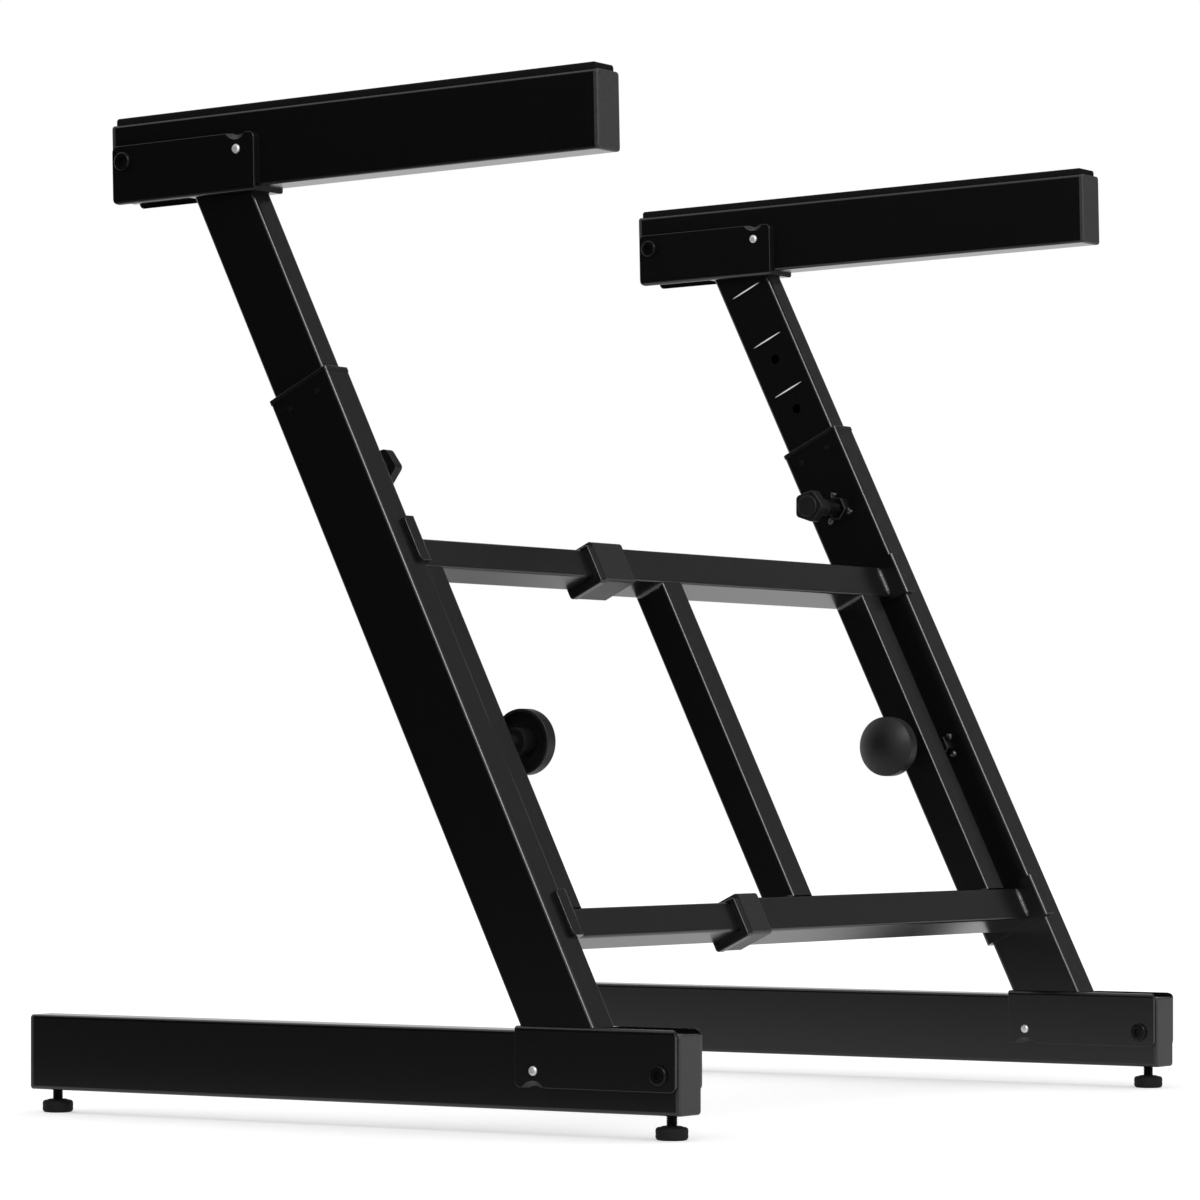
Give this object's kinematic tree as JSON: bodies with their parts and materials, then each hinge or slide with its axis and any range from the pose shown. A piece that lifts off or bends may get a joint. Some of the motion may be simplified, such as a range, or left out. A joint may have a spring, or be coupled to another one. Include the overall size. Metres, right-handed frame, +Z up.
{
  "type": "keyboard stand",
  "caption": "Z-shaped folding stand of black steel tube: floor bases, leaning telescoping uprights, padded arms that carry a keyboard, and a cross frame that slides wider",
  "frame": {"origin": "on the floor, below the middle of the stand", "axes": "+Z up, -Y the player's side where the bases and arms point, +X across to the player's right"},
  "size_m": [0.6792, 0.515, 0.6684],
  "materials": {
    "black_steel": "satin black powder coat",
    "cap_plastic": "fine-grained black plastic",
    "black_rubber": "matte black rubber",
    "knob_plastic": "satin black plastic",
    "dark_fastener": "black oxide",
    "bright_steel": "bright plated"
  },
  "bodies": {
    "right_frame": {"right_upright_tube": "black_steel", "right_upright_bush": "cap_plastic", "right_clamp_nuts": "dark_fastener", "right_base_bracket": "black_steel", "right_base_pivot_bolt": "dark_fastener", "right_upper_crossbar": "black_steel", "right_lower_crossbar": "black_steel", "right_brace": "black_steel", "middle_brace": "black_steel", "right_hook_brackets": "black_steel", "crossbar_sleeves": "black_steel", "crossbar_lips": "cap_plastic"},
    "left_frame": {"left_upright_tube": "black_steel", "left_upright_bush": "cap_plastic", "left_clamp_nuts": "dark_fastener", "left_base_bracket": "black_steel", "left_base_pivot_bolt": "dark_fastener", "left_upper_crossbar": "black_steel", "left_lower_crossbar": "black_steel", "left_brace": "black_steel", "left_hook_brackets": "black_steel"},
    "left_base": {"left_base_tube": "black_steel", "left_base_end_caps": "cap_plastic"},
    "left_mast": {"left_telescoping_tube": "black_steel", "left_arm_bracket": "black_steel", "left_arm_pivot_bolt": "dark_fastener"},
    "left_arm": {"left_arm_tube": "black_steel", "left_arm_end_caps": "cap_plastic", "left_arm_pad": "black_rubber"},
    "left_height_clamp": {"left_height_knob": "knob_plastic", "left_height_screw": "dark_fastener"},
    "left_frame_clamp": {"left_frame_knob": "knob_plastic"},
    "left_front_levelling_foot": {"left_front_foot": "black_rubber", "left_front_foot_stem": "dark_fastener"},
    "left_rear_levelling_foot": {"left_rear_foot": "black_rubber", "left_rear_foot_stem": "dark_fastener"},
    "left_base_outer_lock": {"left_base_outer_button": "bright_steel"},
    "left_base_inner_lock": {"left_base_inner_button": "bright_steel"},
    "left_arm_outer_lock": {"left_arm_outer_button": "bright_steel"},
    "left_arm_inner_lock": {"left_arm_inner_button": "bright_steel"},
    "right_base": {"right_base_tube": "black_steel", "right_base_end_caps": "cap_plastic"},
    "right_mast": {"right_telescoping_tube": "black_steel", "right_arm_bracket": "black_steel", "right_arm_pivot_bolt": "dark_fastener"},
    "right_arm": {"right_arm_tube": "black_steel", "right_arm_end_caps": "cap_plastic", "right_arm_pad": "black_rubber"},
    "right_height_clamp": {"right_height_knob": "knob_plastic", "right_height_screw": "dark_fastener"},
    "right_frame_clamp": {"right_frame_knob": "knob_plastic"},
    "right_front_levelling_foot": {"right_front_foot": "black_rubber", "right_front_foot_stem": "dark_fastener"},
    "right_rear_levelling_foot": {"right_rear_foot": "black_rubber", "right_rear_foot_stem": "dark_fastener"},
    "right_base_outer_lock": {"right_base_outer_button": "bright_steel"},
    "right_base_inner_lock": {"right_base_inner_button": "bright_steel"},
    "right_arm_outer_lock": {"right_arm_outer_button": "bright_steel"},
    "right_arm_inner_lock": {"right_arm_inner_button": "bright_steel"}
  },
  "joints": [
    {"name": "width_slide", "type": "slide", "parent": "right_frame", "child": "left_frame", "axis": [1, 0, 0], "range_m": [-0.15, 0.15]},
    {"name": "left_base_fold", "type": "hinge", "parent": "left_frame", "child": "left_base", "pos_m": [-0.3215, -0.2442, 0.0405], "axis": [-1, 0, 0], "range_deg": [0, 294.5]},
    {"name": "left_height_slide", "type": "slide", "parent": "left_frame", "child": "left_mast", "axis": [0, 0.4409, 0.8976], "range_m": [-0.128, 0.0427]},
    {"name": "left_arm_fold", "type": "hinge", "parent": "left_mast", "child": "left_arm", "pos_m": [-0.3215, 0.17572, 0.63057], "axis": [-1, 0, 0], "range_deg": [0, 294.5]},
    {"name": "left_height_knob_turn", "type": "hinge", "parent": "left_frame", "child": "left_height_clamp", "pos_m": [-0.3215, 0.00959, 0.42618], "axis": [1, 0, 0], "continuous": true},
    {"name": "left_frame_knob_turn", "type": "hinge", "parent": "left_frame", "child": "left_frame_clamp", "pos_m": [-0.3215, -0.07841, 0.24703], "axis": [1, 0, 0], "continuous": true},
    {"name": "left_front_foot_level", "type": "slide", "parent": "left_base", "child": "left_front_levelling_foot", "axis": [0, 0, -1], "range_m": [-0.005, 0.005]},
    {"name": "left_rear_foot_level", "type": "slide", "parent": "left_base", "child": "left_rear_levelling_foot", "axis": [0, 0, -1], "range_m": [-0.005, 0.005]},
    {"name": "left_base_outer_button_press", "type": "slide", "parent": "left_base", "child": "left_base_outer_lock", "axis": [1, 0, 0], "range_m": [0, 0.0043], "stiffness_N_per_m": 1200, "springref_m": -0.004},
    {"name": "left_base_inner_button_press", "type": "slide", "parent": "left_base", "child": "left_base_inner_lock", "axis": [-1, 0, 0], "range_m": [0, 0.0043], "stiffness_N_per_m": 1200, "springref_m": -0.004},
    {"name": "left_arm_outer_button_press", "type": "slide", "parent": "left_arm", "child": "left_arm_outer_lock", "axis": [1, 0, 0], "range_m": [0, 0.0043], "stiffness_N_per_m": 1200, "springref_m": -0.004},
    {"name": "left_arm_inner_button_press", "type": "slide", "parent": "left_arm", "child": "left_arm_inner_lock", "axis": [-1, 0, 0], "range_m": [0, 0.0043], "stiffness_N_per_m": 1200, "springref_m": -0.004},
    {"name": "right_base_fold", "type": "hinge", "parent": "right_frame", "child": "right_base", "pos_m": [0.3215, -0.2442, 0.0405], "axis": [-1, 0, 0], "range_deg": [0, 294.5]},
    {"name": "right_height_slide", "type": "slide", "parent": "right_frame", "child": "right_mast", "axis": [0, 0.4409, 0.8976], "range_m": [-0.128, 0.0427]},
    {"name": "right_arm_fold", "type": "hinge", "parent": "right_mast", "child": "right_arm", "pos_m": [0.3215, 0.17572, 0.63057], "axis": [-1, 0, 0], "range_deg": [0, 294.5]},
    {"name": "right_height_knob_turn", "type": "hinge", "parent": "right_frame", "child": "right_height_clamp", "pos_m": [0.3215, 0.00959, 0.42618], "axis": [-1, 0, 0], "continuous": true},
    {"name": "right_frame_knob_turn", "type": "hinge", "parent": "right_frame", "child": "right_frame_clamp", "pos_m": [0.3215, -0.07841, 0.24703], "axis": [-1, 0, 0], "continuous": true},
    {"name": "right_front_foot_level", "type": "slide", "parent": "right_base", "child": "right_front_levelling_foot", "axis": [0, 0, -1], "range_m": [-0.005, 0.005]},
    {"name": "right_rear_foot_level", "type": "slide", "parent": "right_base", "child": "right_rear_levelling_foot", "axis": [0, 0, -1], "range_m": [-0.005, 0.005]},
    {"name": "right_base_outer_button_press", "type": "slide", "parent": "right_base", "child": "right_base_outer_lock", "axis": [-1, 0, 0], "range_m": [0, 0.0043], "stiffness_N_per_m": 1200, "springref_m": -0.004},
    {"name": "right_base_inner_button_press", "type": "slide", "parent": "right_base", "child": "right_base_inner_lock", "axis": [1, 0, 0], "range_m": [0, 0.0043], "stiffness_N_per_m": 1200, "springref_m": -0.004},
    {"name": "right_arm_outer_button_press", "type": "slide", "parent": "right_arm", "child": "right_arm_outer_lock", "axis": [-1, 0, 0], "range_m": [0, 0.0043], "stiffness_N_per_m": 1200, "springref_m": -0.004},
    {"name": "right_arm_inner_button_press", "type": "slide", "parent": "right_arm", "child": "right_arm_inner_lock", "axis": [1, 0, 0], "range_m": [0, 0.0043], "stiffness_N_per_m": 1200, "springref_m": -0.004}
  ]
}
